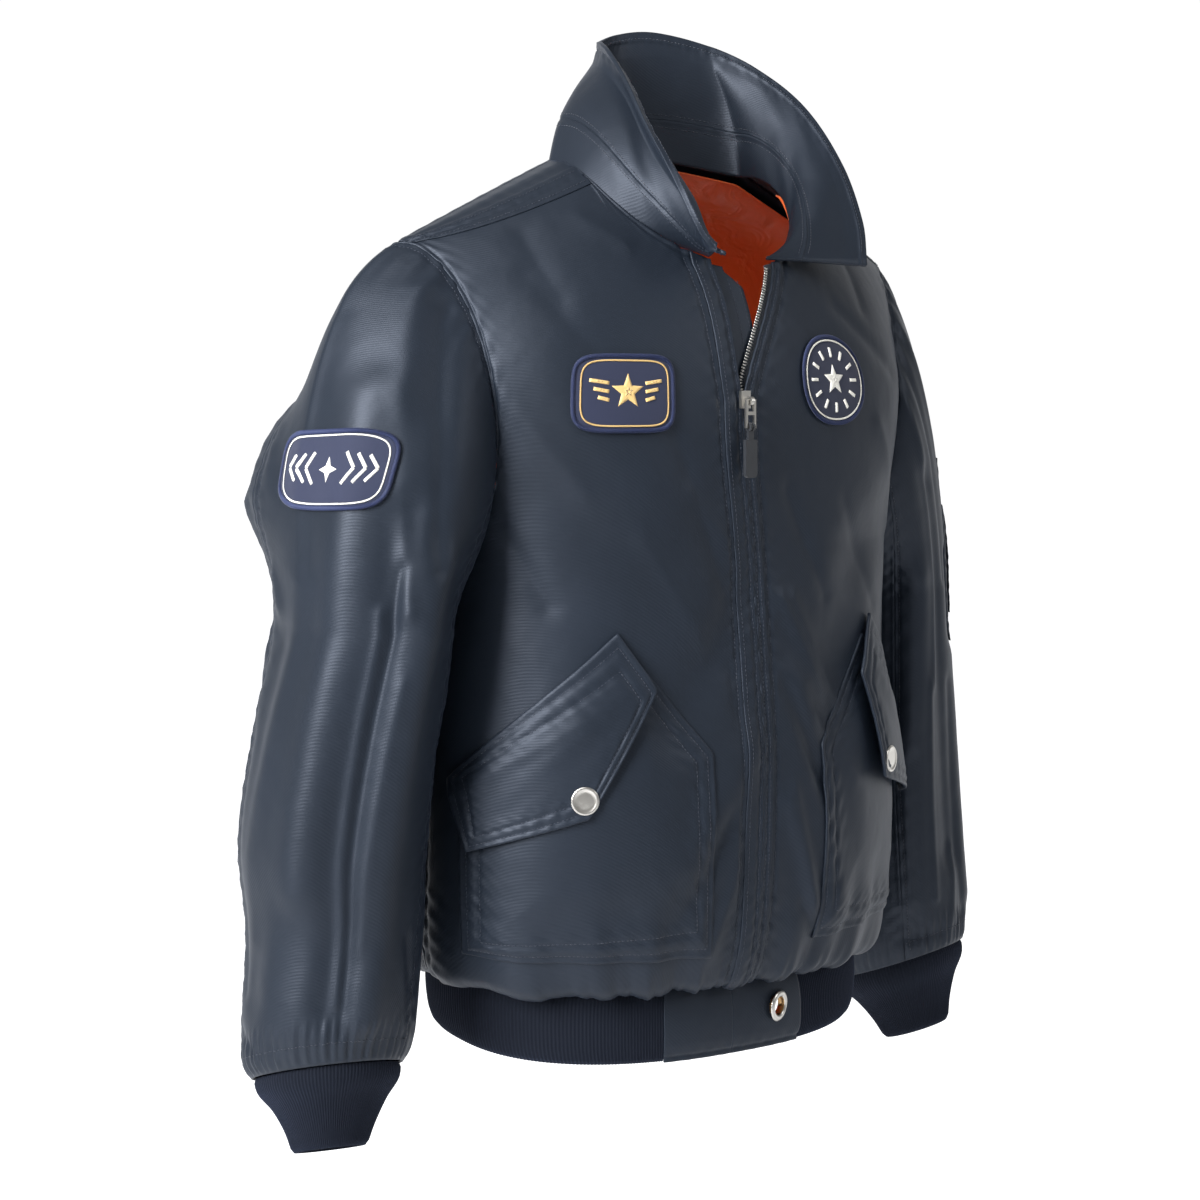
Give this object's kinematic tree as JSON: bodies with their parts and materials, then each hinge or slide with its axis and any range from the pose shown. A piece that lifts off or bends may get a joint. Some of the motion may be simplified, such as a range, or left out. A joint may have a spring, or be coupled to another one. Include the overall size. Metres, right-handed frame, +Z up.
{
  "type": "bomber jacket",
  "caption": "Padded nylon bomber jacket filled out as worn, collar up, zip open at the neck, with knitted cuffs and hem, hand pockets and a hinged zip pull.",
  "frame": {"origin": "middle of the neck base, level with the two high shoulder points where the wearer's shoulders hold the jacket", "axes": "+X to the wearer's left, +Y to the wearer's back, +Z up"},
  "size_m": [0.6988, 0.2956, 0.854],
  "materials": {
    "nylon_shell": "dark slate nylon twill with a low sheen",
    "rib_knit": "navy double rib knit",
    "lining_satin": "orange polyester satin",
    "zip_tape": "woven zip tape",
    "patch_cloth": "embroidered twill",
    "snap_metal": "satin nickel plate",
    "zip_metal": "satin nickel plate",
    "eyelet_metal": "worn nickel over brass",
    "pull_rubber": "matte moulded rubber"
  },
  "bodies": {
    "jacket": {"front_right": "nylon_shell", "sleeve_upper_right": "nylon_shell", "sleeve_under_right": "nylon_shell", "cuff_right": "rib_knit", "pocket_right": "nylon_shell", "flap_right": "nylon_shell", "snap_right": "snap_metal", "front_left": "nylon_shell", "sleeve_upper_left": "nylon_shell", "sleeve_under_left": "nylon_shell", "cuff_left": "rib_knit", "pocket_left": "nylon_shell", "flap_left": "nylon_shell", "snap_left": "snap_metal", "back": "nylon_shell", "hem_rib": "rib_knit", "hem_tab_right": "nylon_shell", "hem_tab_left": "nylon_shell", "grommet": "eyelet_metal", "collar_stand": "nylon_shell", "collar_leaf": "nylon_shell", "placket_right": "nylon_shell", "placket_left": "nylon_shell", "zip_tape_right": "zip_tape", "zip_tape_left": "zip_tape", "wind_flap": "nylon_shell", "lining_right": "lining_satin", "lining_left": "lining_satin", "lining_back": "lining_satin", "patch_chest_right": "patch_cloth", "patch_chest_left": "patch_cloth", "patch_sleeve": "patch_cloth", "sleeve_pocket": "nylon_shell", "pen_pocket": "nylon_shell", "zip_slider": "zip_metal"},
    "pull_link": {"pull_link": "zip_metal"},
    "pull_tab": {"pull_tab": "pull_rubber"}
  },
  "joints": [
    {"name": "link_hinge", "type": "hinge", "parent": "jacket", "child": "pull_link", "pos_m": [-0.02066, -0.13769, -0.183], "axis": [-1, 0, 0], "range_deg": [0, 95]},
    {"name": "tab_hinge", "type": "hinge", "parent": "pull_link", "child": "pull_tab", "pos_m": [-0.02066, -0.13769, -0.202], "axis": [-1, 0, 0], "range_deg": [0, 60]}
  ]
}
